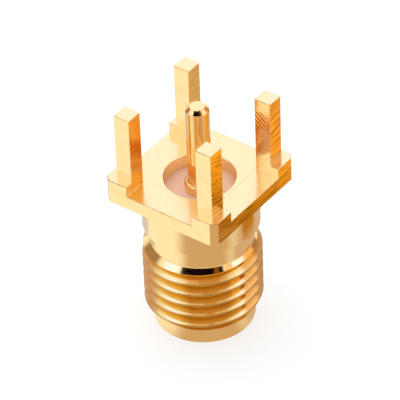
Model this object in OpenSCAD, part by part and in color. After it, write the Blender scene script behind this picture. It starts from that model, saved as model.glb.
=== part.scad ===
// Vertical board-mount coaxial jack with a 1/4-36 coupling thread, standing on its mating end:
// mouth down, four solder legs and the centre pin up. The axis is Z and the mouth's rim is z = 0.

/* [Mating end] */
// Height of the flange's top face above the mouth's rim
flange_top = 9.05; // [8.6:0.05:9.4]
// Diameter of the bore that takes the plug's outer contact
mouth_d = 4.6; // [4.5:0.05:4.7]
// Depth of that bore, from the rim to the reference plane
mouth_depth = 1.9; // [1.7:0.05:2]

/* [Coupling thread] */
// Diameter over the thread's crests
thread_d = 6.3; // [6.2:0.01:6.35]
// Distance between turns: 36 to the inch
thread_pitch = 0.7056; // [0.6:0.0001:0.75]
// Height where the lower end's chamfer leaves the plain barrel
thread_from = 0.89; // [0.7:0.01:1.1]
// Height where the upper end's chamfer meets the neck
thread_to = 5.16; // [4.9:0.01:5.4]
// Height of a crest at the thread's zero angle
thread_phase = 2.311; // [1.9:0.001:2.6]

/* [Collar and flange] */
// Diameter of the plain collar under the flange
collar_d = 6.16; // [6:0.01:6.3]
// Height of the collar's lower edge, above the neck
collar_from = 6.25; // [6:0.05:6.6]
// Side of the square flange
flange_w = 7; // [6.8:0.05:7.2]
// Thickness of the flange under the slots
flange_t = 0.8; // [0.7:0.05:1]
// Flat cut off each upright corner, measured along a side
corner_cut = 0.3; // [0.2:0.05:0.45]

/* [Legs] */
// Distance between leg centres, both ways
leg_pitch = 5.08; // [5:0.01:5.2]
// Side of a leg's square section
leg_w = 0.95; // [0.9:0.01:1]
// Height of the seating pads above the flange
pad_h = 0.6; // [0.4:0.05:0.8]
// Height of the leg tips above the flange
leg_h = 4.5; // [4:0.05:4.8]

/* [Centre] */
// Diameter of the hole in the flange that shows the insulator
rear_hole_d = 3.74; // [3.6:0.02:3.9]
// Depth of the insulator's face below the flange's top face
insulator_recess = 0.75; // [0.6:0.05:0.9]
// Diameter of the insulator
insulator_d = 4.1; // [4:0.05:4.2]
// Diameter of the solder pin
pin_d = 1.25; // [1.2:0.01:1.3]
// Diameter of the collar that seats on the insulator
pin_collar_d = 1.62; // [1.5:0.02:1.8]
// Height of that collar
pin_collar_h = 0.5; // [0.3:0.05:0.6]
// Diameter of the flat on the pin's tip
pin_tip_d = 0.82; // [0.6:0.02:1]
// Bore of the socket that takes the plug's pin
socket_bore_d = 0.94; // [0.9:0.01:0.98]
// Depth of that bore
socket_depth = 3; // [2.7:0.1:3.4]
// Outside diameter of the socket
socket_d = 1.27; // [1.22:0.01:1.32]
// Width of the slots between the socket's four fingers
slot_w = 0.14; // [0.1:0.01:0.16]
// Length of those slots
slot_len = 2; // [1.6:0.1:2.4]

/* [Hidden] */
$fn = 96;
overlap = 0.02;            // how far a cutter runs past the face it opens

half_w = flange_w / 2;
slot_half = (leg_pitch - leg_w) / 2;            // inner face of the legs and pads
flange_from = flange_top - flange_t;
tip_z = flange_top + leg_h;
insulator_top = flange_top - insulator_recess;

flank_tan = tan(30);                            // flanks at 60 degrees to each other
depth_ratio = 0.61343;                          // depth of the thread for each mm of pitch
crest_w = thread_pitch / 8;                     // flat on a crest
crest_r = thread_d / 2;
thread_h = depth_ratio * thread_pitch;
root_r = crest_r - thread_h;                    // radius of the barrel between the turns
steps_per_turn = 36;
sink = 0.05;                                    // how deep a faded ridge dips into the barrel
ridge_foot = 0.15;                              // how deep the ridge's base lies in the barrel
ridge_half = crest_w / 2 + (thread_h + sink) * flank_tan;

rim_break = 0.08;                               // chamfer on the mouth's two edges
collar_break = 0.05;                            // chamfer on the collar's lower edge
contact_set_back = 0.05;                        // socket's end behind the reference plane
socket_break = 0.05;                            // chamfer on the socket's outer edge
socket_lead_in = 0.1;                           // chamfer inside the socket's mouth
finger_gap = 0.075;                             // room for the fingers to spread
finger_clear_d = socket_d + 2 * finger_gap;
slot_overrun = 0.3;                             // how far that room runs past the slots
finger_clear_len = slot_len + slot_overrun;
barb_d = 1.5;                                   // barb that holds the contact in the insulator
barb_z = 5.6;
barb_len = 0.5;
pin_collar_round = 0.12;                        // rounding of the pin collar's upper edge

// Height of the ridge's middle at an angle: a right-hand helix.
function ridge_z(angle) = thread_phase + thread_pitch * angle / 360;

// How far below the crest a chamfer cuts a flank. along is the flank's start, measured up the
// axis from the chamfer's foot, and lean is its slope towards (-) or away from (+) the chamfer.
function cut_depth(along, lean) = (thread_h - along) / (1 + lean * flank_tan);

// Depth of the lower and the upper flank's outer edge at a ridge height z, kept in the barrel
// where the ridge has faded out.
function low_depth(z) = min(thread_h + sink, max(0,
    cut_depth(z - crest_w / 2 - thread_from, -1),
    cut_depth(thread_to - z + crest_w / 2, 1)));
function high_depth(z) = min(thread_h + sink, max(0,
    cut_depth(z + crest_w / 2 - thread_from, 1),
    cut_depth(thread_to - z - crest_w / 2, -1)));

// Radius of the turned blank that the ridge is cut from, chamfered at both ends.
function blank_r(z) = max(root_r - sink,
    min(crest_r, root_r + z - thread_from, root_r + thread_to - z));

// The ridge's section at a height z, as [radius, height] points from foot to foot.
function ridge_section(z) =
    let (
        low = low_depth(z),
        high = high_depth(z),
        low_z = z - crest_w / 2 - low * flank_tan,
        high_z = z + crest_w / 2 + high * flank_tan,
        middle_z = (low_z + high_z) / 2
    )
    [
        [root_r - ridge_foot, z - ridge_half],
        [crest_r - low, low_z],
        [blank_r(middle_z), middle_z],
        [crest_r - high, high_z],
        [root_r - ridge_foot, z + ridge_half]
    ];

// One 60 degree ridge wound round the barrel, clipped by the chamfers of the turned blank.
module thread_ridge() {
    first = floor((thread_from - ridge_half - thread_phase) / thread_pitch * steps_per_turn);
    last = ceil((thread_to + ridge_half - thread_phase) / thread_pitch * steps_per_turn);
    step = 360 / steps_per_turn;
    sides = len(ridge_section(0));
    points = [for (i = [first:last])
        for (p = ridge_section(ridge_z(i * step)))
            [p[0] * cos(i * step), p[0] * sin(i * step), p[1]]];
    rings = last - first;
    walls = [for (i = [0:rings - 1], j = [0:sides - 1])
        let (a = i * sides + j, b = i * sides + (j + 1) % sides)
            each [[a, b, b + sides], [a, b + sides, a + sides]]];
    start_cap = [for (j = [sides - 1:-1:0]) j];
    end_cap = [for (j = [0:sides - 1]) rings * sides + j];
    polyhedron(points = points, faces = concat(walls, [start_cap, end_cap]), convexity = 10);
}

// Barrel, neck and collar in one turned outline, with its edges broken.
module turned_outside() {
    rotate_extrude()
        polygon([
            [0, 0],
            [root_r - rim_break, 0],
            [root_r, rim_break],
            [root_r, collar_from],
            [collar_d / 2 - collar_break, collar_from],
            [collar_d / 2, collar_from + collar_break],
            [collar_d / 2, flange_from + overlap],
            [0, flange_from + overlap]
        ]);
}

// Square with its corners cut off, which the flange and the pads share.
module flange_outline() {
    cut = half_w - corner_cut;
    polygon([
        [half_w, -cut], [half_w, cut], [cut, half_w], [-cut, half_w],
        [-half_w, cut], [-half_w, -cut], [-cut, -half_w], [cut, -half_w]
    ]);
}

// Stepped hole: mouth from below, insulator's seat, and the smaller hole through the flange.
module through_bore() {
    rotate_extrude()
        polygon([
            [0, -overlap],
            [mouth_d / 2 + rim_break + overlap, -overlap],
            [mouth_d / 2, rim_break],
            [mouth_d / 2, mouth_depth],
            [insulator_d / 2, mouth_depth],
            [insulator_d / 2, insulator_top],
            [rear_hole_d / 2, insulator_top],
            [rear_hole_d / 2, flange_top + overlap],
            [0, flange_top + overlap]
        ]);
}

// Square leg on its pad's inner corner, in the quarter where x and y are positive.
module leg() {
    translate([slot_half, slot_half, flange_top - overlap])
        cube([leg_w, leg_w, leg_h + overlap]);
}

// Corner of the flange that was left standing when the cross slots were milled.
module pad() {
    intersection() {
        translate([0, 0, flange_top - overlap])
            linear_extrude(pad_h + overlap)
                flange_outline();
        translate([slot_half, slot_half, flange_from])
            cube([half_w, half_w, flange_t + pad_h + overlap]);
    }
}

module body() {
    color([0.93, 0.73, 0.36])
        difference() {
            union() {
                turned_outside();
                thread_ridge();
                translate([0, 0, flange_from])
                    linear_extrude(flange_t)
                        flange_outline();
                for (quarter = [0:3])
                    rotate(90 * quarter) {
                        pad();
                        leg();
                    }
            }
            through_bore();
        }
}

module insulator() {
    color([0.95, 0.93, 0.9])
        rotate_extrude()
            polygon([
                [finger_clear_d / 2, mouth_depth],
                [insulator_d / 2, mouth_depth],
                [insulator_d / 2, insulator_top],
                [socket_d / 2, insulator_top],
                [socket_d / 2, barb_z + barb_len],
                [barb_d / 2, barb_z + barb_len],
                [socket_d / 2, barb_z],
                [socket_d / 2, mouth_depth + finger_clear_len],
                [finger_clear_d / 2, mouth_depth + finger_clear_len]
            ]);
}

// Turned outline of the contact from its socket's end to the pin's tip.
module contact_outline() {
    front = mouth_depth + contact_set_back;
    collar_top = insulator_top + pin_collar_h;
    collar_r = pin_collar_d / 2;
    difference() {
        polygon([
            [0, front],
            [socket_d / 2 - socket_break, front],
            [socket_d / 2, front + socket_break],
            [socket_d / 2, barb_z],
            [barb_d / 2, barb_z + barb_len],
            [socket_d / 2, barb_z + barb_len],
            [socket_d / 2, insulator_top],
            [collar_r, insulator_top],
            [collar_r, collar_top],
            [pin_d / 2, collar_top],
            [pin_d / 2, tip_z - (pin_d - pin_tip_d) / 2],
            [pin_tip_d / 2, tip_z],
            [0, tip_z]
        ]);
        difference() {
            translate([collar_r - pin_collar_round, collar_top - pin_collar_round])
                square(2 * pin_collar_round);
            translate([collar_r - pin_collar_round, collar_top - pin_collar_round])
                circle(r = pin_collar_round);
        }
    }
}

// Blind bore of the socket, with a lead-in at its mouth and a drill point at its end.
module socket_bore() {
    front = mouth_depth + contact_set_back;
    bore_r = socket_bore_d / 2;
    rotate_extrude()
        polygon([
            [0, front - overlap],
            [bore_r + socket_lead_in + overlap, front - overlap],
            [bore_r, front + socket_lead_in],
            [bore_r, front + socket_depth],
            [0, front + socket_depth + bore_r * tan(30)]
        ]);
}

module centre_contact() {
    front = mouth_depth + contact_set_back;
    color([0.96, 0.78, 0.42])
        difference() {
            rotate_extrude()
                contact_outline();
            socket_bore();
            for (turn = [0, 90])
                rotate(turn)
                    translate([-socket_d, -slot_w / 2, front - overlap])
                        cube([2 * socket_d, slot_w, slot_len + overlap]);
        }
}

body();
insulator();
centre_contact();
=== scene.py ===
"""Vertical board-mount coaxial jack in gold-plated brass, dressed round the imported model.

The jack stands on its mating end: the mouth is down, and the four solder legs and the centre
pin point up. Every sub-assembly is modelled in millimetres and carried to metres at the end.
"""

import logging
import math
from collections.abc import Callable, Iterator
from contextlib import contextmanager
from dataclasses import dataclass, field, replace
from enum import Enum
from typing import ClassVar

import bmesh
import bpy
from mathutils import Matrix, Vector

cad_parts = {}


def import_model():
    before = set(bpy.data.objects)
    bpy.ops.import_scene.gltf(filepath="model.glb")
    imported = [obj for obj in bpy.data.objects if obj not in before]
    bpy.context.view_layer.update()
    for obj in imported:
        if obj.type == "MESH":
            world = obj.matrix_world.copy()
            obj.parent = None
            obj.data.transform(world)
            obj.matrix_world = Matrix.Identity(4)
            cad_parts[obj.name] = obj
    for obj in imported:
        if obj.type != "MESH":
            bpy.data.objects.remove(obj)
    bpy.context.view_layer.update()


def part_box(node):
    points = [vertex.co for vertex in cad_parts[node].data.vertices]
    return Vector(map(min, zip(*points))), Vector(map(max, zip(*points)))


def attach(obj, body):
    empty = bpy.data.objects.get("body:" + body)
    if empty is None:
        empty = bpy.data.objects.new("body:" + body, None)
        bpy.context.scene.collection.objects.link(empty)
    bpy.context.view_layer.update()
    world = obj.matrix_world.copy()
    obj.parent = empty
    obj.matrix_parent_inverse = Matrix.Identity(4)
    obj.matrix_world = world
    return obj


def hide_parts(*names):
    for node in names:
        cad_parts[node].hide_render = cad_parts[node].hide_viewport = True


log = logging.getLogger("jack")

BODY_NAME = "root"

# Metres in a millimetre.
MM = 0.001
# Millimetres by which the thread's tool stays clear of the barrel, so that no surfaces coincide.
ROOT_LIFT = 0.003
# Millimetres within which two points or levels are taken as one.
SAME = 1e-4
# Least share of a normal along Z on a level face.
LEVEL = 0.98
# Least share of a normal along an axis on a face that counts as pointing that way.
SQUARE_ON = 0.75
# Edges that turn by more than this many degrees stay sharp in the shading.
SMOOTH_ANGLE = 35.0
# How far a rounding of radius 1 reaches along the sides of a 45 degree corner.
CORNER_REACH = math.tan(math.radians(22.5))

Point = tuple[float, float]
Triple = tuple[float, float, float]
Colour = tuple[float, float, float]
Element = bmesh.types.BMEdge | bmesh.types.BMFace
Tree = bpy.types.NodeTree
Node = bpy.types.Node
Socket = bpy.types.NodeSocket


class Joining(Enum):
    """How one solid is put together with another."""

    ADD = "UNION"
    CUT = "DIFFERENCE"


class Picking(Enum):
    """What edit mode selects."""

    CORNERS = "VERT"
    EDGES = "EDGE"
    FACES = "FACE"


class Marks(Enum):
    """Tool marks that a machined surface carries."""

    LATHE = "lathe"
    END_MILL = "end_mill"
    FLY_CUTTER = "fly_cutter"
    SLITTING_SAW = "slitting_saw"


class Blend(Enum):
    """What a Mix node blends: its data type, its first value's input and its output."""

    NUMBERS = ("FLOAT", 2, 0)
    COLOURS = ("RGBA", 6, 2)


# ---------------------------------------------------------------------------------- modelling


def make_active(piece: bpy.types.Object) -> None:
    """Selects one object alone and makes it the active one.

    Args:
        piece: The object.
    """
    bpy.ops.object.select_all(action="DESELECT")
    piece.select_set(True)
    bpy.context.view_layer.objects.active = piece


@contextmanager
def editing(piece: bpy.types.Object, picking: Picking = Picking.FACES) -> Iterator[None]:
    """Opens edit mode on a piece with nothing selected, and leaves it at the end.

    Args:
        piece: The object to edit.
        picking: What is going to be selected.

    Yields:
        Nothing, while the piece is in edit mode.
    """
    make_active(piece)
    bpy.ops.object.mode_set(mode="EDIT")
    bpy.ops.mesh.select_mode(type=picking.value)
    bpy.ops.mesh.select_all(action="DESELECT")
    yield
    bpy.ops.object.mode_set(mode="OBJECT")


def pick(piece: bpy.types.Object, picking: Picking, test: Callable[[Element], bool]) -> None:
    """Selects, in edit mode, just the edges or faces that pass a test.

    Args:
        piece: The object that is being edited.
        picking: EDGES or FACES.
        test: Tells whether an edge or a face is selected.
    """
    bm = bmesh.from_edit_mesh(piece.data)
    for element in bm.edges if picking is Picking.EDGES else bm.faces:
        element.select_set(test(element))
    bm.select_flush_mode()
    bmesh.update_edit_mesh(piece.data)


def arc(centre: Point, radius: float, start: float, end: float, steps: int = 4) -> list[Point]:
    """Gives points along an arc of an outline.

    Args:
        centre: Centre as (distance from the axis, height).
        radius: Radius of the arc.
        start: First angle in degrees, 0 pointing away from the axis and 90 up.
        end: Last angle in degrees.
        steps: Number of chords.

    Returns:
        steps + 1 points from start to end.
    """
    angles = [math.radians(start + (end - start) * i / steps) for i in range(steps + 1)]
    return [(centre[0] + radius * math.cos(a), centre[1] + radius * math.sin(a)) for a in angles]


def hold_ends(points: list[Point], gap: float = 0.02, long: float = 0.08) -> list[Point]:
    """Adds a point near both ends of each long side, so that rounding beside it stays narrow.

    Args:
        points: The outline.
        gap: Distance of the new points from the ends.
        long: Length over which a side gets them.

    Returns:
        The outline with the new points.
    """
    held = [points[0]]
    for (r0, z0), (r1, z1) in zip(points, points[1:]):
        length = math.hypot(r1 - r0, z1 - z0)
        if length > long:
            for share in (gap / length, 1 - gap / length):
                held.append((r0 + (r1 - r0) * share, z0 + (z1 - z0) * share))
        held.append((r1, z1))
    return held


def draw_outline(name: str, points: list[Point], closed: bool) -> bpy.types.Object:
    """Draws a half section in the XZ plane.

    Args:
        name: Name of the new object.
        points: The half section.
        closed: Whether its last point is joined to its first.

    Returns:
        The new object, of edges alone.
    """
    count = len(points)
    edges = [(i, i + 1) for i in range(count - 1)]
    if closed:
        edges.append((count - 1, 0))
    mesh = bpy.data.meshes.new(name)
    mesh.from_pydata([(r, 0.0, z) for r, z in points], edges, [])
    piece = bpy.data.objects.new(name, mesh)
    bpy.context.scene.collection.objects.link(piece)
    return piece


def turn(name: str, points: list[Point], steps: int) -> bpy.types.Object:
    """Turns a half section round the Z axis into a closed solid.

    Args:
        name: Name of the new object.
        points: The half section. It runs from axis to axis, or is a ring's closed section.
        steps: Faces round the axis.

    Returns:
        The new object, with its faces pointing outwards.
    """
    piece = draw_outline(name, hold_ends(points), closed=points[0][0] > 0)
    with editing(piece, Picking.CORNERS):
        bpy.ops.mesh.select_all(action="SELECT")
        bpy.ops.mesh.spin(steps=steps, angle=math.tau, center=(0, 0, 0), axis=(0, 0, 1))
        bpy.ops.mesh.select_all(action="SELECT")
        bpy.ops.mesh.remove_doubles(threshold=SAME)
        bpy.ops.mesh.normals_make_consistent(inside=False)
    return piece


def combine(piece: bpy.types.Object, other: bpy.types.Object, how: Joining) -> None:
    """Adds another solid to a piece, or cuts it away, and deletes the other solid.

    Args:
        piece: The solid that stays.
        other: The solid that is used up.
        how: Whether it is added or cut away.
    """
    make_active(piece)
    modifier = piece.modifiers.new("Combine", "BOOLEAN")
    modifier.operation = how.value
    modifier.solver = "MANIFOLD"
    modifier.object = other
    bpy.ops.object.modifier_apply(modifier=modifier.name)
    mesh = other.data
    bpy.data.objects.remove(other)
    bpy.data.meshes.remove(mesh)


def block(name: str, low: Vector, high: Vector) -> bpy.types.Object:
    """Adds a box as the start of a piece or of a cut.

    Args:
        name: Name of the new object.
        low: Its lowest corner.
        high: The corner across from that.

    Returns:
        The new object, with its place in its mesh.
    """
    bpy.ops.object.select_all(action="DESELECT")
    bpy.ops.mesh.primitive_cube_add(size=1, location=(low + high) / 2)
    piece = bpy.context.active_object
    piece.name = piece.data.name = name
    piece.scale = high - low
    bpy.ops.object.transform_apply(location=True, rotation=True, scale=True)
    return piece


def to_metres(piece: bpy.types.Object) -> None:
    """Carries a piece modelled in millimetres to the frame's metres.

    Args:
        piece: The piece.
    """
    make_active(piece)
    piece.scale = (MM, MM, MM)
    bpy.ops.object.transform_apply(location=True, rotation=True, scale=True)


def shade(piece: bpy.types.Object) -> None:
    """Smooths round faces, keeps flat ones flat, and gives large faces the say in the normals.

    Args:
        piece: The object to shade.
    """
    make_active(piece)
    bpy.ops.object.shade_smooth_by_angle(angle=math.radians(SMOOTH_ANGLE))
    modifier = piece.modifiers.new("Weighted", "WEIGHTED_NORMAL")
    modifier.keep_sharp = True
    modifier.weight = 100
    bpy.ops.object.modifier_apply(modifier=modifier.name)


# ---------------------------------------------------------------------------------- materials


def new_material(name: str) -> tuple[bpy.types.Material, Tree, Node]:
    """Makes a node material.

    Args:
        name: Name of the material.

    Returns:
        The material, its node tree and its Principled BSDF.
    """
    material = bpy.data.materials.new(name)
    material.use_nodes = True
    tree = material.node_tree
    return material, tree, tree.nodes["Principled BSDF"]


def supply(tree: Tree, entry: Socket, value: object) -> None:
    """Sets a node's input, or links it to another node's output.

    Args:
        tree: The node tree.
        entry: The input.
        value: A number, a vector, a colour or an output.
    """
    if isinstance(value, Socket):
        tree.links.new(value, entry)
    else:
        entry.default_value = value


def add_node(tree: Tree, kind: str, **values: object) -> Node:
    """Adds a shader node.

    Args:
        tree: The node tree.
        kind: The node's type after the word ShaderNode.
        **values: Its settings by their lower-case names, and its inputs by their capitalised
            ones, with an underscore for a space.

    Returns:
        The new node.
    """
    node = tree.nodes.new("ShaderNode" + kind)
    for name, value in values.items():
        if name[0].isupper():
            supply(tree, node.inputs[name.replace("_", " ")], value)
        else:
            setattr(node, name, value)
    return node


def math_node(tree: Tree, operation: str, *values: object) -> Socket:
    """Adds a Math node.

    Args:
        tree: The node tree.
        operation: What it works out.
        *values: A number or an output for each of its inputs.

    Returns:
        Its output.
    """
    node = add_node(tree, "Math", operation=operation)
    for entry, value in zip(node.inputs, values):
        supply(tree, entry, value)
    return node.outputs[0]


def vector_node(tree: Tree, operation: str, *values: object) -> Socket:
    """Adds a Vector Math node.

    Args:
        tree: The node tree.
        operation: What it works out.
        *values: A vector or an output for each of its inputs.

    Returns:
        Its output, which is a number for a length, a distance or a dot product.
    """
    node = add_node(tree, "VectorMath", operation=operation)
    for entry, value in zip(node.inputs, values):
        supply(tree, entry, value)
    is_number = operation in ("LENGTH", "DISTANCE", "DOT_PRODUCT")
    return node.outputs["Value" if is_number else "Vector"]


def mix_node(tree: Tree, blend: Blend, share: object, first: object, second: object) -> Socket:
    """Adds a Mix node.

    Args:
        tree: The node tree.
        blend: What it blends.
        share: How much of the second value shows.
        first: The first value.
        second: The second value.

    Returns:
        Its output.
    """
    data_type, at, output = blend.value
    node = add_node(tree, "Mix", data_type=data_type)
    for index, value in zip((0, at, at + 1), (share, first, second)):
        supply(tree, node.inputs[index], value)
    return node.outputs[output]


def mix_shaders(tree: Tree, share: Socket, first: Socket, second: Socket) -> None:
    """Mixes two shaders and puts the result out as the material's surface.

    Args:
        tree: The node tree.
        share: How much of the second shader shows.
        first: The first shader.
        second: The second shader.
    """
    mix = add_node(tree, "MixShader")
    for entry, value in zip(mix.inputs, (share, first, second)):
        supply(tree, entry, value)
    supply(tree, tree.nodes["Material Output"].inputs["Surface"], mix.outputs[0])


def opaque(colour: Colour) -> tuple[float, float, float, float]:
    """Gives a colour as a node's input takes it."""
    return (*colour, 1.0)


def in_mm(*lengths: float) -> tuple[float, ...]:
    """Carries lengths in millimetres to metres."""
    return tuple(length * MM for length in lengths)


def per_mm(*shares: float) -> tuple[float, ...]:
    """Carries shares of a millimetre to shares of a metre."""
    return tuple(share / MM for share in shares)


def object_place(tree: Tree) -> Socket:
    """Gives the place of a point on the piece, from the tree's one Texture Coordinate node."""
    coordinates = tree.nodes.get("Texture Coordinate") or add_node(tree, "TexCoord")
    return coordinates.outputs["Object"]


def radius_and_height(tree: Tree, place: Socket) -> tuple[Socket, Socket]:
    """Measures a point round the Z axis.

    Args:
        tree: The node tree.
        place: The point.

    Returns:
        Its distance from the axis and its height.
    """
    split = add_node(tree, "SeparateXYZ", Vector=place)
    flat = add_node(tree, "CombineXYZ", X=split.outputs["X"], Y=split.outputs["Y"])
    return vector_node(tree, "LENGTH", flat.outputs[0]), split.outputs["Z"]


def round_spot(
    tree: Tree, place: Socket, centre: Socket, radius: float, edge: float, strength: float
) -> Socket:
    """Adds a soft-edged round spot.

    Args:
        tree: The node tree.
        place: The point on the piece.
        centre: Middle of the spot.
        radius: Radius of its full part in metres.
        edge: Radius at which it has faded out, in metres.
        strength: Its value in the middle.

    Returns:
        Its value, which is 0 away from it.
    """
    spot = add_node(
        tree, "MapRange", interpolation_type="SMOOTHSTEP",
        Value=vector_node(tree, "DISTANCE", place, centre),
        From_Min=radius, From_Max=edge, To_Min=strength, To_Max=0.0,
    )
    return spot.outputs[0]


def new_group(name: str, vectors: tuple[str, ...], numbers: tuple[str, ...]) -> Tree:
    """Makes a node group that puts out a Height and a Mask.

    Args:
        name: Name of the group.
        vectors: Names of its vector inputs.
        numbers: Names of its number inputs.

    Returns:
        The group, with its input and output nodes.
    """
    group = bpy.data.node_groups.new(name, "ShaderNodeTree")
    sockets = [(socket, "INPUT", "NodeSocketVector") for socket in vectors]
    sockets += [(socket, "INPUT", "NodeSocketFloat") for socket in numbers]
    sockets += [(socket, "OUTPUT", "NodeSocketFloat") for socket in ("Height", "Mask")]
    for socket, in_out, socket_type in sockets:
        group.interface.new_socket(name=socket, in_out=in_out, socket_type=socket_type)
    group.nodes.new("NodeGroupInput")
    group.nodes.new("NodeGroupOutput")
    return group


def turning_group() -> Tree:
    """Makes the fine rings that a lathe tool leaves round the axis, Feed apart.

    Returns:
        A group with the rings as its Height and broad patches as its Mask.
    """
    group = new_group("turning_marks", ("Position",), ("Feed",))
    entry, result = group.nodes["Group Input"].outputs, group.nodes["Group Output"].inputs
    radius, height = radius_and_height(group, entry["Position"])
    section = add_node(group, "CombineXYZ", X=radius, Z=height)
    rings = add_node(
        group, "TexNoise", Vector=section.outputs[0],
        Scale=math_node(group, "DIVIDE", 1.0, entry["Feed"]), Detail=2.0, Roughness=0.6,
    )
    patches = add_node(group, "TexNoise", Vector=entry["Position"], Scale=0.9 / MM, Detail=3.0)
    supply(group, result["Height"], rings.outputs[0])
    supply(group, result["Mask"], patches.outputs[0])
    return group


def milling_group() -> Tree:
    """Makes the arcs that a rotating cutter leaves on a flat face.

    The arcs lie round the Centre point, Feed apart, and Wander bends them. Along points the way
    that they run, and its length is one over the length of a streak. Round the point Chatter
    the cutter has left an even ripple, and below it lies a painted reflection, a patch of deeper
    gold. Streaks is how strong the mask is away from them.

    Returns:
        A group with the arcs as its Height and their streaks as its Mask.
    """
    group = new_group(
        "milling_marks", ("Position", "Centre", "Along", "Chatter"), ("Feed", "Wander", "Streaks")
    )
    entry, result = group.nodes["Group Input"].outputs, group.nodes["Group Output"].inputs
    place, chatter = entry["Position"], entry["Chatter"]

    offset = vector_node(group, "SUBTRACT", place, entry["Centre"])
    drift = add_node(group, "TexNoise", Vector=place, Scale=0.7 / MM, Detail=2.0)
    bend = math_node(group, "MULTIPLY", drift.outputs[0], entry["Wander"])
    reach = math_node(group, "ADD", vector_node(group, "LENGTH", offset), bend)
    turns = math_node(group, "DIVIDE", reach, entry["Feed"])
    run = vector_node(group, "DOT_PRODUCT", place, entry["Along"])
    section = add_node(group, "CombineXYZ", X=turns, Y=run).outputs[0]

    ridges = add_node(group, "TexNoise", Vector=section, Scale=1.0, Detail=2.0, Roughness=0.7)
    ridges = math_node(group, "MULTIPLY", ridges.outputs[0], 0.5)
    noise = add_node(
        group, "TexNoise", Vector=section, Scale=0.42, Detail=4.0, Roughness=0.62, Distortion=0.4
    )
    streaks = add_node(group, "MapRange", Value=noise.outputs[0], From_Min=0.47, From_Max=0.61)
    streaks = math_node(group, "MULTIPLY", streaks.outputs[0], entry["Streaks"])

    sine = math_node(group, "SINE", math_node(group, "MULTIPLY", turns, math.tau))
    ripple = math_node(group, "MULTIPLY_ADD", sine, 0.5, 0.5)
    near = round_spot(group, place, chatter, radius=0.40 * MM, edge=0.62 * MM, strength=1.0)
    # Painted reflection: a patch of deeper gold below the ripple.
    reflection_patch_below = in_mm(0, 0, 0.95)
    above = vector_node(group, "ADD", place, reflection_patch_below)
    patch = round_spot(group, above, chatter, radius=0.9 * MM, edge=1.4 * MM, strength=0.30)
    tone = math_node(group, "ADD", streaks, patch)

    supply(group, result["Height"], mix_node(group, Blend.NUMBERS, near, ridges, ripple))
    supply(group, result["Mask"], mix_node(group, Blend.NUMBERS, near, tone, ripple))
    return group


def place_group(tree: Tree, build: Callable[[], Tree], name: str, **values: object) -> Node:
    """Places a node group in a material, on Object coordinates.

    Args:
        tree: The material's node tree.
        build: Makes the group, the first time that it is asked for.
        name: Name of the group.
        **values: The group's other inputs.

    Returns:
        The group's node.
    """
    group = bpy.data.node_groups.get(name) or build()
    return add_node(tree, "Group", node_tree=group, Position=object_place(tree), **values)


@dataclass(frozen=True)
class GoldFinish:
    """Gold plating over machined brass.

    Attributes:
        name: Name of the material.
        marks: The tool marks that show through the plating.
        gold: Colour of the plating.
        tone: Colour where the marks make it deeper.
        tone_share: How strongly that colour shows.
        roughness: Roughness between the marks.
        roughness_swing: How much the marks add to it.
        depth: Height of the marks in metres.
        feed: Distance between the marks in metres.
        wander: How far the marks drift in metres.
        centre: Where arcs have their centre, in metres.
        along: The way that the arcs run, as a vector whose length is one over a streak's.
        chatter: Middle of a rippled patch, with a painted reflection of deeper gold below it, in
            metres.
        streaks: How strongly the streaks show away from it.
    """

    name: str
    marks: Marks
    gold: Colour
    tone: Colour
    tone_share: float
    roughness: float
    roughness_swing: float
    depth: float
    feed: float
    wander: float = 0.0
    centre: Triple = (0.0, 0.0, 0.0)
    along: Triple = (0.0, 0.0, 0.0)
    chatter: Triple = (0.0, 0.0, 0.0)
    streaks: float = 1.0

    def material(self) -> bpy.types.Material:
        """Builds the material.

        Returns:
            The new material.
        """
        material, tree, shader = new_material(self.name)
        pattern = self._pattern(tree)
        height = pattern.outputs["Height"]
        rough = math_node(tree, "MULTIPLY", height, self.roughness_swing)
        rough = math_node(tree, "ADD", rough, self.roughness)
        bump = add_node(tree, "Bump", Strength=1.0, Distance=self.depth, Height=height)
        shader.inputs["Metallic"].default_value = 1.0
        supply(tree, shader.inputs["Base Color"], self._colour(tree, pattern))
        supply(tree, shader.inputs["Roughness"], rough)
        supply(tree, shader.inputs["Normal"], bump.outputs["Normal"])
        return material

    def _pattern(self, tree: Tree) -> Node:
        """Places the tool's marks.

        Args:
            tree: The material's node tree.

        Returns:
            The node with their Height and Mask.
        """
        if self.marks is Marks.LATHE:
            return place_group(tree, turning_group, "turning_marks", Feed=self.feed)
        return place_group(
            tree, milling_group, "milling_marks", Feed=self.feed, Wander=self.wander,
            Centre=self.centre, Along=self.along, Chatter=self.chatter, Streaks=self.streaks,
        )

    def _colour(self, tree: Tree, pattern: Node) -> Socket:
        """Mixes the two golds by the pattern's mask."""
        share = self._share(tree, pattern)
        return mix_node(tree, Blend.COLOURS, share, opaque(self.gold), opaque(self.tone))

    def _share(self, tree: Tree, pattern: Node) -> Socket:
        """Gives how much of the deeper gold shows."""
        return math_node(tree, "MULTIPLY", pattern.outputs["Mask"], self.tone_share)


@dataclass(frozen=True)
class PassFinish(GoldFinish):
    """Milled gold with the fine line that one of the cutter's passes leaves at its edge.

    Attributes:
        pass_edge: Distance of the line from the axis, towards X, in metres.
        line_half: Half the line's width in metres.
        line_share: How much of the deeper gold shows on it.
    """

    pass_edge: float = 2.09 * MM
    line_half: float = 0.022 * MM
    line_share: float = 0.6

    def _share(self, tree: Tree, pattern: Node) -> Socket:
        """Adds the line to the pattern's mask.

        Args:
            tree: The material's node tree.
            pattern: The tool's marks.

        Returns:
            How much of the deeper gold shows.
        """
        split = add_node(tree, "SeparateXYZ", Vector=object_place(tree))
        off = math_node(tree, "SUBTRACT", split.outputs["X"], self.pass_edge)
        line = math_node(tree, "LESS_THAN", math_node(tree, "ABSOLUTE", off), self.line_half)
        line = math_node(tree, "MULTIPLY", line, self.line_share)
        return math_node(tree, "MAXIMUM", line, super()._share(tree, pattern))


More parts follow.
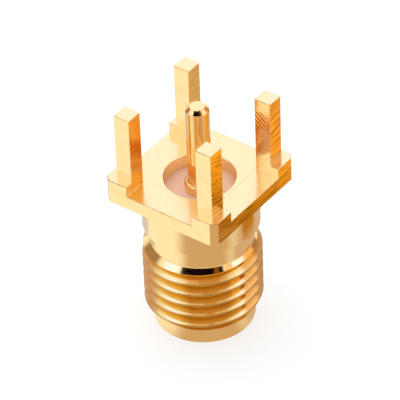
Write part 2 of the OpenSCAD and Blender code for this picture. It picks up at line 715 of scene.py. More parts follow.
@dataclass(frozen=True)
class GrooveFinish(GoldFinish):
    """Gold with painted shade, deeper from a thread's flanks down into its roots, and a painted
    dark reflection on its crests.

    Attributes:
        root_r: Radius of the roots in metres.
        flank_r: Radius in metres where the painted shade of the roots has faded out, and the
            flanks are lightest.
        crest_r: Radius of the crests in metres.
        crest_painted_shade: Colour of the painted dark reflection on the crests.
    """

    root_r: float = 2.76 * MM
    flank_r: float = 3.10 * MM
    crest_r: float = 3.15 * MM
    crest_painted_shade: Colour = (0.56, 0.34, 0.10)

    def _colour(self, tree: Tree, pattern: Node) -> Socket:
        """Paints shade by the distance from the axis: deeper into the roots, and dark on the
        crests.

        Args:
            tree: The material's node tree.
            pattern: The tool's marks.

        Returns:
            The colour.
        """
        radius, _ = radius_and_height(tree, object_place(tree))
        # Painted shade: the gold deepens from the flanks down into the roots.
        light = add_node(
            tree, "MapRange", Value=radius, From_Min=self.root_r, From_Max=self.flank_r
        )
        patch = math_node(tree, "SUBTRACT", pattern.outputs["Mask"], 0.5)
        patch = math_node(tree, "MULTIPLY", patch, self.tone_share)
        share = math_node(tree, "ADD", light.outputs[0], patch)
        groove = mix_node(tree, Blend.COLOURS, share, opaque(self.tone), opaque(self.gold))
        # Painted dark reflection of shade on the crests.
        crest_shade_mix = add_node(
            tree, "MapRange", Value=radius, From_Min=self.flank_r, From_Max=self.crest_r
        )
        return mix_node(tree, Blend.COLOURS, crest_shade_mix.outputs[0], groove, opaque(self.crest_painted_shade))


@dataclass(frozen=True)
class PtfeFinish:
    """White fluoropolymer, turned: soft, faintly see-through and a little waxy. Its colour carries
    painted warm light from the gold round it.

    Attributes:
        name: Name of the material.
        colour: Its colour, white with painted warm light from the gold round it.
        shadow: Its colour with painted shade, in patches.
        roughness: Its roughness.
        glow: How much of its light comes from below the surface.
        glow_reach: How far red, green and blue light go there, for a scale of 1.
        glow_scale: That scale in metres.
        feed: Distance between the lathe's rings in metres.
        depth: Height of the rings in metres.
        softness: How strongly they show.
    """

    name: str = "turned_ptfe"
    # Painted warm light from the gold: the white is tinted pink and orange.
    colour: Colour = (0.95, 0.68, 0.54)
    # Painted shade, in patches.
    shadow: Colour = (0.90, 0.54, 0.38)
    roughness: float = 0.45
    glow: float = 0.3
    glow_reach: Triple = (0.5, 0.45, 0.4)
    glow_scale: float = 0.4 * MM
    feed: float = 0.04 * MM
    depth: float = 0.003 * MM
    softness: float = 0.4

    def material(self) -> bpy.types.Material:
        """Builds the material.

        Returns:
            The new material.
        """
        material, tree, shader = new_material(self.name)
        shader.inputs["Roughness"].default_value = self.roughness
        shader.inputs["Subsurface Weight"].default_value = self.glow
        shader.inputs["Subsurface Radius"].default_value = self.glow_reach
        shader.inputs["Subsurface Scale"].default_value = self.glow_scale
        pattern = place_group(tree, turning_group, "turning_marks", Feed=self.feed)
        height, mask = pattern.outputs["Height"], pattern.outputs["Mask"]
        # Painted light and shade: the warm tint and its shaded patches.
        colour = mix_node(tree, Blend.COLOURS, mask, opaque(self.colour), opaque(self.shadow))
        bump = add_node(
            tree, "Bump", Strength=self.softness, Distance=self.depth, Height=height
        )
        supply(tree, shader.inputs["Base Color"], colour)
        supply(tree, shader.inputs["Normal"], bump.outputs["Normal"])
        return material


# Colours of the plating: on turned and sawn faces, in the lathe's marks, and in the fly cutter's
# streaks;
# painted shade at the thread's roots, and on the pin's sides a deeper gold that is painted shade.
GOLD = (1.0, 0.76, 0.37)
DEEP_GOLD = (0.95, 0.62, 0.24)
# Painted shade at the thread's roots.
ROOT_SHADE_GOLD = (0.74, 0.42, 0.03)
# Painted shade: a deeper gold for the pin's sides than for faces that look up.
PIN_SHADED_GOLD = (0.98, 0.63, 0.24)
BROWN_GOLD = (0.44, 0.23, 0.03)

TURNED = GoldFinish(
    "turned_gold", Marks.LATHE, GOLD, DEEP_GOLD, tone_share=0.12,
    roughness=0.05, roughness_swing=0.04, depth=0.0003 * MM, feed=0.03 * MM,
)
# The thread's roots carry painted shade, and its crests a painted dark reflection.
THREADED = GrooveFinish(
    "thread_gold", Marks.LATHE, (0.97, 0.72, 0.33), ROOT_SHADE_GOLD, tone_share=0.35,
    roughness=0.05, roughness_swing=0.05, depth=0.0004 * MM, feed=0.025 * MM,
)
# The pin's sides take this deeper gold and its tip the paler GOLD: painted shade.
PIN = GoldFinish(
    "pin_gold", Marks.LATHE, PIN_SHADED_GOLD, DEEP_GOLD, tone_share=0.1,
    roughness=0.04, roughness_swing=0.04, depth=0.0002 * MM, feed=0.02 * MM,
)
FLOOR_CUT = PassFinish(
    "milled_top_gold", Marks.END_MILL, (1.0, 0.78, 0.42), (0.82, 0.50, 0.16), tone_share=0.10,
    roughness=0.18, roughness_swing=0.08, depth=0.002 * MM, feed=0.05 * MM, wander=0.1 * MM,
    centre=in_mm(-9, -6, 9), along=per_mm(0.5, -0.5, 0),
)
SLOT_CUT = GoldFinish(
    "milled_slot_gold", Marks.END_MILL, (1.0, 0.775, 0.41), (0.97, 0.68, 0.30), tone_share=0.2,
    roughness=0.20, roughness_swing=0.08, depth=0.002 * MM, feed=0.05 * MM, wander=0.1 * MM,
    centre=in_mm(9, -7, 9), along=per_mm(0.5, 0.6, 0),
)
# The deeper gold of the faces that point along X, against GOLD on those along Y, is painted shade;
# the streaks are the fly cutter's marks.
SIDE_CUT = GoldFinish(
    "fly_cut_gold", Marks.FLY_CUTTER, (1.0, 0.72, 0.30), BROWN_GOLD, tone_share=0.85,
    roughness=0.10, roughness_swing=0.12, depth=0.007 * MM, feed=0.045 * MM, wander=0.10 * MM,
    centre=in_mm(3.5, 1.0, 26), along=per_mm(0, 1.4, 0),
)
# A still deeper gold for the X faces on the minus X side, also painted shade.
INNER_SIDE_CUT = replace(
    SIDE_CUT, name="inner_side_gold", gold=(1.0, 0.69, 0.22), tone_share=0.22, depth=0.003 * MM
)
# The saw's ripple is a tool mark; the deeper patch below it is a painted reflection.
SAWN = GoldFinish(
    "sawn_gold", Marks.SLITTING_SAW, GOLD, (0.66, 0.28, 0.01), tone_share=1.0,
    roughness=0.09, roughness_swing=0.06, depth=0.006 * MM, feed=0.215 * MM, wander=0.01 * MM,
    centre=in_mm(-3.4, 0, 5.4), along=per_mm(0.35, 0, -0.28),
    chatter=in_mm(2.31, 2.07, 12.36), streaks=0.10,
)
BURR = replace(
    SAWN, name="burred_edge_gold", gold=(0.84, 0.50, 0.20), tone=(0.55, 0.28, 0.06),
    tone_share=0.8, roughness=0.25, feed=0.12 * MM, chatter=in_mm(0, 0, 0), streaks=1.0,
)


# ------------------------------------------------------------------------------ sub-assemblies


@dataclass(frozen=True)
class Seat:
    """Sizes at which the body, the bush and the contact meet.

    Lengths are in millimetres, and heights are above the mouth's rim.
    """

    bush_r: float = 2.05
    bush_low: float = 1.9
    bush_top: float = 8.30
    contact_r: float = 0.635
    barb_r: float = 0.75
    barb_from: float = 5.6
    barb_to: float = 6.1


@dataclass(frozen=True)
class ThreadForm:
    """The 1/4-36 coupling thread, cut by a V tool that follows a right-hand helix.

    Lengths are in millimetres, and heights are above the mouth's rim.
    """

    crest_r: float = 3.15
    pitch: float = 0.7056
    phase: float = 2.311
    start: float = 0.89
    end: float = 5.16
    depth_ratio: float = 0.61343
    flank_lean: float = 30.0
    crest_round: float = 0.03
    root_round: float = 0.04
    foot_fillet: float = 0.08
    clear: float = 0.05
    crest_share: float = 1 / 8
    crest_leave: float = 8.0
    chamfer_tilt: Point = (0.6, 0.8)

    @property
    def depth(self) -> float:
        """Height of the crests over the roots."""
        return self.depth_ratio * self.pitch

    @property
    def root_r(self) -> float:
        """Radius at the bottom of the thread, and of the barrel on both sides of it."""
        return self.crest_r - self.depth

    def blank_outline(self) -> list[Point]:
        """Draws the thread's turned blank.

        Returns:
            Its outline, from the foot of the lower chamfer to that of the upper one.
        """
        foot, edge = self.foot_fillet, self.crest_round
        foot_r, edge_r = self.root_r + foot, self.crest_r - edge
        low_edge = self.start + self.depth + edge * CORNER_REACH
        high_edge = self.end - self.depth - edge * CORNER_REACH
        return [
            *arc((foot_r, self.start - foot * CORNER_REACH), foot, 180, 135),
            *arc((edge_r, low_edge), edge, -45, 0),
            *arc((edge_r, high_edge), edge, 0, 45),
            *arc((foot_r, self.end + foot * CORNER_REACH), foot, 225, 180),
        ]

    def groove_outline(self) -> list[Point]:
        """Draws the V tool, with the rounding that it gives the crests and the root.

        Returns:
            Its closed section, with height 0 at the middle of the groove.
        """
        lean = math.radians(self.flank_lean)
        mouth_half = (1 - self.crest_share) * self.pitch / 2
        crest, root = self.crest_round, self.root_round
        crest_z = mouth_half + crest * (1 - math.sin(lean)) / math.cos(lean)
        sunk = self.depth - root
        root_z = mouth_half - (root + sunk * math.sin(lean)) / math.cos(lean)
        tangent, leave = 90 - self.flank_lean, self.crest_leave
        upper = [
            *arc((self.root_r + root + ROOT_LIFT, root_z), root, 180, 180 - tangent, 3),
            *arc((self.crest_r - crest, crest_z), crest, -tangent, -leave),
            (self.crest_r + self.clear, crest_z - crest * math.sin(math.radians(leave))),
        ]
        lower = [(r, -z) for r, z in reversed(upper)]
        return lower + upper

    def groove(self, steps: int) -> bpy.types.Object:
        """Winds the tool's section into the helical groove, as a solid to cut away.

        Args:
            steps: Faces for each turn.

        Returns:
            The groove's solid.
        """
        turns_below = math.ceil((self.phase - self.start) / self.pitch) + 1
        lowest = self.phase - (turns_below + 0.5) * self.pitch
        piece = draw_outline("groove", self.groove_outline(), closed=True)
        with editing(piece, Picking.CORNERS):
            bpy.ops.mesh.select_all(action="SELECT")
            bpy.ops.transform.translate(value=(0, 0, lowest))
        modifier = piece.modifiers.new("Helix", "SCREW")
        modifier.angle = math.tau
        modifier.screw_offset = self.pitch
        modifier.iterations = math.ceil((self.end - lowest) / self.pitch) + 1
        modifier.steps = modifier.render_steps = steps
        bpy.ops.object.modifier_apply(modifier=modifier.name)
        with editing(piece):
            bpy.ops.mesh.select_all(action="SELECT")
            bpy.ops.mesh.fill_holes(sides=0)
            bpy.ops.mesh.select_all(action="SELECT")
            bpy.ops.mesh.normals_make_consistent(inside=False)
        return piece


@dataclass
class JackBody:
    """The one-piece machined body: threaded barrel, collar, square flange, pads and four legs.

    Lengths are in millimetres, and heights are above the mouth's rim.
    """

    flange_w: float
    tip_z: float
    flange_top: float = 9.05
    flange_t: float = 0.8
    corner_cut: float = 0.3
    pad_h: float = 0.6
    leg_w: float = 0.95
    leg_pitch: float = 5.08
    collar_r: float = 3.08
    collar_from: float = 6.25
    mouth_r: float = 2.3
    rear_hole_r: float = 1.87
    rim_break: float = 0.08
    edge_break: float = 0.05
    outer_edge: float = 0.035
    inner_fillet: float = 0.05
    sharp_from: float = 20.0
    burr_tilt: float = 0.2
    run_out: float = 0.3
    steps: int = 192
    seat: Seat = field(default_factory=Seat)
    thread: ThreadForm = field(default_factory=ThreadForm)

    @property
    def underside(self) -> float:
        """Height of the flange's lower face."""
        return self.flange_top - self.flange_t

    @property
    def pad_top(self) -> float:
        """Height of the pads' upper faces."""
        return self.flange_top + self.pad_h

    @property
    def leg_from(self) -> float:
        """Distance of the legs' inner sides from the middle planes."""
        return (self.leg_pitch - self.leg_w) / 2

    def build(self) -> bpy.types.Object:
        """Models the body and dresses it.

        Returns:
            The finished piece, in metres.
        """
        piece = turn("body_shell", self._outside(), self.steps)
        combine(piece, self.thread.groove(self.steps), Joining.CUT)
        combine(piece, self._flange_and_legs(), Joining.ADD)
        combine(piece, turn("bore", self._bore(), self.steps), Joining.CUT)
        self._dress(piece)
        shade(piece)
        to_metres(piece)
        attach(piece, BODY_NAME)
        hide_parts("body")
        return piece

    def _outside(self) -> list[Point]:
        """Draws the turned blank.

        Returns:
            Its half section, from the mouth's rim up into the flange.
        """
        root_r, rim, edge = self.thread.root_r, self.rim_break, self.edge_break
        inside_flange = self.flange_top - self.flange_t / 2
        return [
            (0, 0),
            *arc((root_r - rim, rim), rim, -90, 0),
            *self.thread.blank_outline(),
            *arc((root_r + edge, self.collar_from - edge), edge, 180, 90),
            *arc((self.collar_r - edge, self.collar_from + edge), edge, -90, 0),
            (self.collar_r, inside_flange),
            (0, inside_flange),
        ]

    def _bore(self) -> list[Point]:
        """Draws the stepped hole.

        Returns:
            Its half section: mouth, bush's seat and hole in the flange.
        """
        rim, run_out = self.mouth_r + self.rim_break, self.run_out
        seat, edge = self.seat, self.edge_break
        return [
            (0, -run_out),
            (rim + run_out, -run_out),
            (self.mouth_r, self.rim_break),
            (self.mouth_r, seat.bush_low),
            (seat.bush_r, seat.bush_low),
            (seat.bush_r, seat.bush_top),
            (self.rear_hole_r, seat.bush_top),
            *arc((self.rear_hole_r + edge, self.flange_top - edge), edge, 180, 100),
            (self.rear_hole_r + edge, self.flange_top + run_out),
            (0, self.flange_top + run_out),
        ]

    def _flange_and_legs(self) -> bpy.types.Object:
        """Models the flange, then draws the pads and the legs up out of it.

        Returns:
            The three together, as one solid.
        """
        half = self.flange_w / 2
        low = Vector((-half, -half, self.underside))
        piece = block("flange", low, Vector((half, half, self.flange_top)))

        def upright(edge: bmesh.types.BMEdge) -> bool:
            """Whether an edge stands at one of the flange's corners."""
            return abs(edge.verts[0].co.z - edge.verts[1].co.z) > self.flange_t / 2

        with editing(piece, Picking.EDGES):
            pick(piece, Picking.EDGES, upright)
            bpy.ops.mesh.bevel(offset=self.corner_cut, segments=1)
        self._draw_up(piece, self.leg_from, self.flange_top, self.pad_h)
        self._draw_up(piece, self.leg_from + self.leg_w, self.pad_top, self.tip_z - self.pad_top)
        self._break_edges(piece)
        return piece

    def _draw_up(self, piece: bpy.types.Object, split: float, level: float, rise: float) -> None:
        """Splits the top faces at a level along four lines, and extrudes four of the parts.

        Args:
            piece: The flange.
            split: Distance of the lines from the axis.
            level: Height of the faces to split.
            rise: How far the four parts go up.
        """
        half, inner = self.flange_w / 2, self.leg_from

        def at_level(face: bmesh.types.BMFace) -> bool:
            """Whether a face lies at the level."""
            return abs(face.calc_center_median().z - level) < SAME

        for normal in (Vector((1, 0, 0)), Vector((0, 1, 0))):
            for side in (-1, 1):
                with editing(piece):
                    pick(piece, Picking.FACES, at_level)
                    bpy.ops.mesh.bisect(plane_co=normal * side * split, plane_no=normal)
        on_leg = split > inner

        def raised(face: bmesh.types.BMFace) -> bool:
            """Tells whether a face is one of the four parts to draw up.

            Args:
                face: One of the flange's faces.

            Returns:
                Whether it is.
            """
            middle = face.calc_center_median()
            near, far = sorted((abs(middle.x), abs(middle.y)))
            in_reach = inner < near and far < split if on_leg else split < near and far < half
            return in_reach and at_level(face)

        with editing(piece):
            pick(piece, Picking.FACES, raised)
            bpy.ops.mesh.extrude_region_move(TRANSFORM_OT_translate={"value": (0, 0, rise)})

    def _break_edges(self, piece: bpy.types.Object) -> None:
        """Rounds the outer edges a little and fillets the inner ones, as cutters leave them.

        Args:
            piece: The flange with its pads and legs.
        """
        bm = bmesh.new()
        bm.from_mesh(piece.data)
        weight = bm.edges.layers.float.new("bevel_weight_edge")
        for edge in bm.edges:
            if len(edge.link_faces) != 2 or edge.calc_face_angle() < math.radians(self.sharp_from):
                continue
            edge[weight] = self.outer_edge / self.inner_fillet if edge.is_convex else 1.0
        bm.to_mesh(piece.data)
        bm.free()
        make_active(piece)
        modifier = piece.modifiers.new("Edges", "BEVEL")
        modifier.limit_method = "WEIGHT"
        modifier.width = self.inner_fillet
        modifier.segments = 2
        bpy.ops.object.modifier_apply(modifier=modifier.name)

    def _dress(self, piece: bpy.types.Object) -> None:
        """Gives each face the finish of the tool that cut it.

        Args:
            piece: The body, in millimetres.
        """
        finishes = [TURNED, THREADED, FLOOR_CUT, SLOT_CUT, SIDE_CUT, INNER_SIDE_CUT, SAWN, BURR]
        piece.data.materials.clear()
        for finish in finishes:
            piece.data.materials.append(finish.material())
        for face in piece.data.polygons:
            face.material_index = finishes.index(self._finish_of(face))

    def _finish_of(self, face: bpy.types.MeshPolygon) -> GoldFinish:
        """Names the finish of one face by where it is and which way it points.

        Args:
            face: A face of the body.

        Returns:
            The finish of the tool that cut it.
        """
        middle, normal, thread = face.center, face.normal, self.thread
        radius = math.hypot(middle.x, middle.y)
        if thread.start < middle.z < thread.end and radius > thread.root_r + ROOT_LIFT / 2:
            least, most = thread.chamfer_tilt
            on_chamfer = least < normal.z < most and middle.z > thread.end - thread.depth
            return TURNED if on_chamfer else THREADED
        if normal.z > LEVEL and middle.z > self.underside:
            between_legs = max(abs(middle.x), abs(middle.y)) < self.leg_from
            on_flange = middle.z < self.flange_top + self.pad_h / 2
            return SLOT_CUT if between_legs and on_flange else FLOOR_CUT
        in_hole = radius < self.rear_hole_r + self.edge_break
        if middle.z < self.underside + SAME or in_hole:
            return TURNED
        if self._on_burr(middle, normal):
            return BURR
        across = max(abs(normal.x), abs(normal.y), abs(normal.z))
        if across == abs(normal.z):
            return FLOOR_CUT
        if across < SQUARE_ON:
            return TURNED
        if across == abs(normal.y):
            return SAWN
        # Faces along X take the deeper golds, which are painted shade.
        return INNER_SIDE_CUT if middle.x < 0 else SIDE_CUT

    def _on_burr(self, middle: Vector, normal: Vector) -> bool:
        """Tells whether a face rounds an edge between a level face and one that the saw has cut.

        Args:
            middle: The face's middle.
            normal: The way that it points.

        Returns:
            Whether it does.
        """
        levels = (self.tip_z, self.pad_top, self.flange_top)
        just_below = any(0 < level - middle.z < self.outer_edge for level in levels)
        return just_below and min(abs(normal.y), abs(normal.z)) > self.burr_tilt


@dataclass
class Insulator:
    """The turned fluoropolymer bush between the body and the centre contact, in millimetres."""

    clear_r: float = 0.71
    clear_len: float = 2.3
    steps: int = 128
    seat: Seat = field(default_factory=Seat)

    def build(self) -> bpy.types.Object:
        """Models the bush and dresses it.

        Returns:
            The finished piece, in metres.
        """
        seat = self.seat
        clear_top = seat.bush_low + self.clear_len
        section = [
            (self.clear_r, seat.bush_low),
            (seat.bush_r, seat.bush_low),
            (seat.bush_r, seat.bush_top),
            (seat.contact_r, seat.bush_top),
            (seat.contact_r, seat.barb_to),
            (seat.barb_r, seat.barb_to),
            (seat.contact_r, seat.barb_from),
            (seat.contact_r, clear_top),
            (self.clear_r, clear_top),
        ]
        piece = turn("insulator_bush", section, self.steps)
        piece.data.materials.append(PtfeFinish().material())
        shade(piece)
        to_metres(piece)
        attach(piece, BODY_NAME)
        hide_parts("insulator")
        return piece


@dataclass
class CentreContact:
    """The turned contact: solder pin and collar above, slotted socket below, in millimetres."""

    tip_z: float
    front: float = 1.95
    pin_r: float = 0.625
    tip_r: float = 0.41
    collar_r: float = 0.81
    collar_h: float = 0.5
    collar_round: float = 0.12
    fillet: float = 0.04
    socket_break: float = 0.05
    bore_r: float = 0.47
    bore_depth: float = 3.0
    lead_in: float = 0.1
    slot_w: float = 0.14
    slot_len: float = 2.0
    steps: int = 160
    seat: Seat = field(default_factory=Seat)

    def build(self) -> bpy.types.Object:
        """Models the contact and dresses it.

        Returns:
            The finished piece, in metres.
        """
        piece = turn("contact_pin", self._section(), self.steps)
        reach, half_slot = 2 * self.seat.contact_r, self.slot_w / 2
        low, high = self.front - self.slot_len / 2, self.front + self.slot_len
        for x, y in ((reach, half_slot), (half_slot, reach)):
            slot = block("slot", Vector((-x, -y, low)), Vector((x, y, high)))
            combine(piece, slot, Joining.CUT)
        piece.data.materials.clear()
        for finish in (PIN, TURNED):
            piece.data.materials.append(finish.material())
        for face in piece.data.polygons:
            # The tip keeps the paler gold and the sides the deeper one: painted shade.
            on_tip = face.normal.z > LEVEL and face.center.z > self.tip_z - self.fillet
            face.material_index = int(on_tip)
        shade(piece)
        to_metres(piece)
        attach(piece, BODY_NAME)
        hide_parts("centre_contact")
        return piece

    def _section(self) -> list[Point]:
        """Draws the contact.

        Returns:
            Its half section, from the drill point of the socket's bore round to the pin's tip.
        """
        seat = self.seat
        bore_end = self.front + self.bore_depth
        collar_top = seat.bush_top + self.collar_h
        chamfer = self.pin_r - self.tip_r
        bend = self.fillet * CORNER_REACH
        round_r = self.collar_r - self.collar_round
        return [
            (0, bore_end + self.bore_r * math.tan(math.radians(30))),
            (self.bore_r, bore_end),
            (self.bore_r, self.front + self.lead_in),
            (self.bore_r + self.lead_in, self.front),
            (seat.contact_r - self.socket_break, self.front),
            (seat.contact_r, self.front + self.socket_break),
            (seat.contact_r, seat.barb_from),
            (seat.barb_r, seat.barb_to),
            (seat.contact_r, seat.barb_to),
            (seat.contact_r, seat.bush_top),
            (self.collar_r, seat.bush_top),
            *arc((round_r, collar_top - self.collar_round), self.collar_round, 0, 90, 6),
            *arc((self.pin_r + self.fillet, collar_top + self.fillet), self.fillet, 270, 180),
            *arc((self.pin_r - self.fillet, self.tip_z - chamfer - bend), self.fillet, 0, 45),
            *arc((self.tip_r - bend, self.tip_z - self.fillet), self.fillet, 45, 90),
            (0, self.tip_z),
        ]


# -------------------------------------------------------------------------------------- studio


@dataclass(frozen=True)
class ViewPoint:
    """Where the camera stands: angles round the jack's axis in degrees, and lengths in metres."""

    azimuth: float = 37.585
    elevation: float = 38.988
    roll: float = -2.220
    distance: float = 0.160
    target_z: float = 7.455 * MM
    aside: float = -0.035 * MM
    lens: float = 279.1
    sensor: float = 36.0
    nearest: float = 10 * MM
    farthest: float = 10.0

    def towards(self, heading: float, elevation: float) -> Vector:
        """Gives a direction from the jack, as a vector of length 1."""
        a, e = math.radians(self.azimuth + heading), math.radians(elevation)
        return Vector((math.sin(a) * math.cos(e), -math.cos(a) * math.cos(e), math.sin(e)))

    def build(self) -> bpy.types.Object:
        """Makes the camera and sets it as the scene's.

        Returns:
            The camera.
        """
        data = bpy.data.cameras.new("camera")
        data.lens, data.sensor_width = self.lens, self.sensor
        data.clip_start, data.clip_end = self.nearest, self.farthest
        camera = bpy.data.objects.new("camera", data)
        bpy.context.scene.collection.objects.link(camera)
        back = self.towards(0, self.elevation)
        right = self.towards(90, 0)
        up = back.cross(right)
        turn_by = math.radians(self.roll)
        side = math.cos(turn_by) * right + math.sin(turn_by) * up
        top = back.cross(side)
        target = Vector((0, 0, self.target_z)) + right * self.aside
        axes = Matrix((side, top, back)).transposed().to_4x4()
        camera.matrix_world = Matrix.Translation(target + back * self.distance) @ axes
        bpy.context.scene.camera = camera
        return camera


def smooth_step(value: float) -> float:
    """Eases a value from 0 to 1."""
    t = min(max(value, 0.0), 1.0)
    return t * t * (3 - 2 * t)


@dataclass(frozen=True)
class Card:
    """A soft-edged studio card that only reflections see.

    It covers a range of headings round the jack, and its other side runs from low to high.

    Attributes:
        name: Name of the card.
        heading: Its middle in degrees, 0 under the camera and 90 at the camera's right.
        half_width: Half its width in degrees.
        low: Its near or lower edge.
        high: Its far or upper edge.
        colour: The light that it sends back, where 1 is plain white.
        feather: Width of the soft sides in degrees.
        fade: Width of the soft near and far edges, in the unit of low and high.
        crowding: How much closer its rows lie at the near edge, where 1 is evenly.
    """

    name: str
    heading: float
    half_width: float
    low: float
    high: float
    colour: Colour
    feather: float
    fade: float
    crowding: float = 1.0

    column: ClassVar[float] = 2.5
    least_columns: ClassVar[int] = 4
    rows: ClassVar[int] = 24

    def place(self, view: ViewPoint, heading: float, level: float) -> Vector:
        """Gives the place of one point of the card."""
        raise NotImplementedError

    def build(self, view: ViewPoint) -> bpy.types.Object:
        """Makes the card.

        Args:
            view: Where the camera stands.

        Returns:
            The card, hidden from the camera, from diffuse light and from shadows.
        """
        columns = max(self.least_columns, math.ceil(2 * self.half_width / self.column))
        bpy.ops.object.select_all(action="DESELECT")
        bpy.ops.mesh.primitive_grid_add(x_subdivisions=columns, y_subdivisions=self.rows, size=2)
        piece = bpy.context.active_object
        piece.name = piece.data.name = self.name
        cover = piece.data.attributes.new("cover", "FLOAT", "POINT")
        for vertex in piece.data.vertices:
            across, up = vertex.co.x, (vertex.co.y + 1) / 2
            level = self.low + (self.high - self.low) * up**self.crowding
            side = smooth_step(self.half_width * (1 - abs(across)) / self.feather)
            end = smooth_step(min(level - self.low, self.high - level) / self.fade)
            cover.data[vertex.index].value = side * end
            vertex.co = self.place(view, self.heading + across * self.half_width, level)
        piece.data.materials.append(self._material())
        piece.visible_camera = piece.visible_diffuse = piece.visible_shadow = False
        return piece

    def _material(self) -> bpy.types.Material:
        """Makes a plain glow of the card's colour, that fades out at its edges.

        Returns:
            The new material.
        """
        material, tree, shader = new_material(self.name)
        tree.nodes.remove(shader)
        glow = add_node(tree, "Emission", Color=opaque(self.colour), Strength=1.0)
        clear = add_node(tree, "BsdfTransparent")
        cover = add_node(tree, "Attribute", attribute_name="cover")
        mix_shaders(tree, cover.outputs["Fac"], clear.outputs[0], glow.outputs[0])
        return material


@dataclass(frozen=True)
class HungCard(Card):
    """A card that stands or hangs round the jack. low and high are elevations in degrees.

    Attributes:
        distance: Its distance in metres from the middle of the jack.
        centre_z: Height of that middle in metres.
    """

    distance: float = 0.3
    centre_z: float = 7 * MM

    def place(self, view: ViewPoint, heading: float, level: float) -> Vector:
        """Gives the place of one point of the card."""
        return view.towards(heading, level) * self.distance + Vector((0, 0, self.centre_z))


@dataclass(frozen=True)
class LaidCard(Card):
    """A card laid on the table. low and high are millimetres from the jack's axis.

    Attributes:
        lift: Its height over the table in millimetres.
    """

    lift: float = 0.05

    def place(self, view: ViewPoint, heading: float, level: float) -> Vector:
        """Gives the place of one point of the card."""
        return (view.towards(heading, 0) * level + Vector((0, 0, self.lift))) * MM


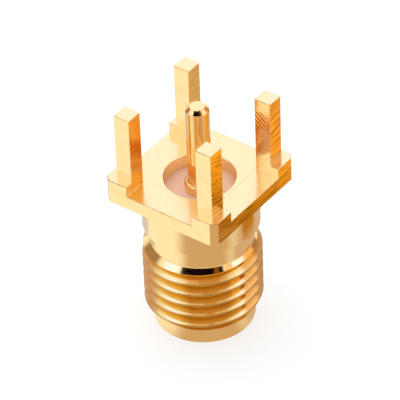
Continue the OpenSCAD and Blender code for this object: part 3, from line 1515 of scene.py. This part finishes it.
@dataclass
class Studio:
    """Pale floor, white surroundings, soft light and the cards that the gold reflects.

    Attributes:
        view: Where the camera stands.
        floor_size: Length of the floor's sides in metres.
        floor_colour: Colour of the floor, for the light that it throws on the jack.
        floor_glow: Light that the floor shows without the lamp, where 1 is white.
        shade_share: Share that it shows, beside that, of the light that falls on it.
        surround: Colour of the surroundings.
        diffuse_share: Strength of the light that they send to the jack.
        lamp_heading: Where the lamp stands round the jack, in degrees from the camera.
        lamp_elevation: How high it stands, in degrees.
        lamp_distance: Its distance from the jack in metres.
        lamp_size: Length of its sides in metres.
        lamp_power: Its power in watts.
        cards: Each card's name, heading, half width, low, high, colour, feather and fade.
    """

    view: ViewPoint
    floor_size: float = 4.0
    floor_colour: Colour = (0.8, 0.8, 0.8)
    floor_glow: float = 0.68
    shade_share: float = 0.35
    surround: Colour = (1.0, 1.0, 1.0)
    diffuse_share: float = 0.78
    lamp_heading: float = -150.0
    lamp_elevation: float = 70.0
    lamp_distance: float = 0.25
    lamp_size: float = 0.30
    lamp_power: float = 0.32
    cards: tuple[Card, ...] = (
        HungCard("back_panel", 180, 36, 12, 68, (1.10, 1.16, 1.40), 12, 8, distance=0.34),
        HungCard("left_panel", -80, 34, 30, 66, (1.16, 1.30, 2.10), 14, 6, distance=0.33),
        HungCard("right_screen", 85, 40, 26, 66, (0.98, 0.72, 0.56), 6, 5, distance=0.30),
        HungCard("right_panel", 81, 20, 28, 66, (1.18, 1.26, 1.90), 5, 5, distance=0.29),
        HungCard("top_card", 0, 180, 66, 90, (0.80, 0.52, 0.33), 1, 6, distance=0.32),
        HungCard("left_rear_screen", -142, 34, -2, 50, (0.70, 0.47, 0.41), 16, 16, distance=0.31),
        HungCard("right_rear_screen", 134, 37, -2, 58, (0.60, 0.40, 0.33), 20, 18, distance=0.31),
        HungCard("left_rear_flag", -112, 24, -2, 32, (0.38, 0.25, 0.16), 10, 8, distance=0.28),
        HungCard("right_rear_flag", 122, 14, -2, 24, (0.40, 0.24, 0.14), 8, 8, distance=0.28),
        HungCard("right_amber_card", 102, 14, -2, 38, (1.05, 0.57, 0.25), 8, 10, distance=0.27),
        HungCard("front_flag", -2, 49, 42, 56, (0.004, 0.001, 0.002), 5, 2, distance=0.25),
        HungCard("red_strip", 30, 7, 38, 56, (0.26, 0.08, 0.01), 4, 4, distance=0.24),
        LaidCard("front_board", 7, 60, 1, 200, (0.65, 0.47, 0.33), 30, 1, crowding=3),
        LaidCard("right_board", 104, 62, 1, 60, (0.66, 0.51, 0.42), 30, 1, crowding=3, lift=0.10),
        LaidCard("amber_board", 92, 23, 12, 28, (1.10, 0.52, 0.05), 13, 2, lift=0.15),
        LaidCard("brown_board", 91, 22, 9, 15.5, (0.50, 0.22, 0.01), 11, 2, lift=0.20),
        LaidCard("glint_board", 60, 12, 17, 70, (1.10, 0.84, 0.52), 4, 2, lift=0.25),
        LaidCard("brown_strip", 78, 7, 30, 200, (0.50, 0.24, 0.04), 2, 4, lift=0.30),
        LaidCard("left_rear_board", -145, 45, 1, 60, (0.70, 0.67, 0.74), 24, 1, crowding=3),
    )

    def build(self) -> None:
        """Makes the floor, the world, the lamp and the cards."""
        self._floor()
        self._world()
        self._lamp()
        for card in self.cards:
            card.build(self.view)

    def _direct_rays(self, tree: Tree) -> Socket:
        """Picks out the rays that see the background as it is.

        Args:
            tree: The node tree.

        Returns:
            1 for the camera's rays and for those that come through gloss or glass, or else 0.
        """
        rays = add_node(tree, "LightPath").outputs
        seen = math_node(tree, "ADD", rays["Is Camera Ray"], rays["Is Glossy Ray"])
        seen = math_node(tree, "ADD", seen, rays["Is Transmission Ray"])
        return math_node(tree, "MINIMUM", seen, 1.0)

    def _floor(self) -> None:
        """Makes a white floor that keeps a light shadow."""
        bpy.ops.object.select_all(action="DESELECT")
        bpy.ops.mesh.primitive_plane_add(size=self.floor_size)
        floor = bpy.context.active_object
        floor.name = floor.data.name = "floor"
        material, tree, shader = new_material("floor_white")
        shader.inputs["Base Color"].default_value = opaque(self.floor_colour)
        shader.inputs["Roughness"].default_value = 1.0
        shader.inputs["Specular IOR Level"].default_value = 0.0
        pale = add_node(tree, "BsdfDiffuse", Color=opaque((self.shade_share,) * 3))
        glow = add_node(tree, "Emission", Strength=self.floor_glow)
        both = add_node(tree, "AddShader")
        supply(tree, both.inputs[0], pale.outputs[0])
        supply(tree, both.inputs[1], glow.outputs[0])
        mix_shaders(tree, self._direct_rays(tree), shader.outputs[0], both.outputs[0])
        floor.data.materials.append(material)

    def _lamp(self) -> None:
        """Hangs a wide soft lamp overhead, a little behind the jack, that gives its shadow."""
        data = bpy.data.lights.new("soft_lamp", "AREA")
        data.size, data.energy = self.lamp_size, self.lamp_power
        lamp = bpy.data.objects.new("soft_lamp", data)
        bpy.context.scene.collection.objects.link(lamp)
        back = self.view.towards(self.lamp_heading, self.lamp_elevation)
        lamp.location = back * self.lamp_distance
        lamp.rotation_euler = back.to_track_quat("Z", "Y").to_euler()
        lamp.visible_glossy = False

    def _world(self) -> None:
        """Makes it white all round, with a little less light from there on the jack."""
        world = bpy.data.worlds.new("studio")
        world.use_nodes = True
        tree = world.node_tree
        strength = add_node(
            tree, "MapRange", Value=self._direct_rays(tree), To_Min=self.diffuse_share, To_Max=1.0
        )
        background = tree.nodes["Background"]
        background.inputs["Color"].default_value = opaque(self.surround)
        supply(tree, background.inputs["Strength"], strength.outputs[0])
        bpy.context.scene.world = world


def main() -> None:
    """Builds the jack's pieces in order, then the studio round them."""
    logging.basicConfig(level=logging.INFO, format="%(name)s: %(message)s")
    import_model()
    low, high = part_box("body")
    flange_w, tip_z = (high.x - low.x) / MM, high.z / MM
    for maker in (JackBody(flange_w, tip_z), Insulator(), CentreContact(tip_z)):
        piece = maker.build()
        log.info("%s: %d faces", piece.name, len(piece.data.polygons))
    view = ViewPoint()
    view.build()
    Studio(view).build()
    bpy.context.scene.view_settings.view_transform = "Standard"


if __name__ == "__main__":
    main()
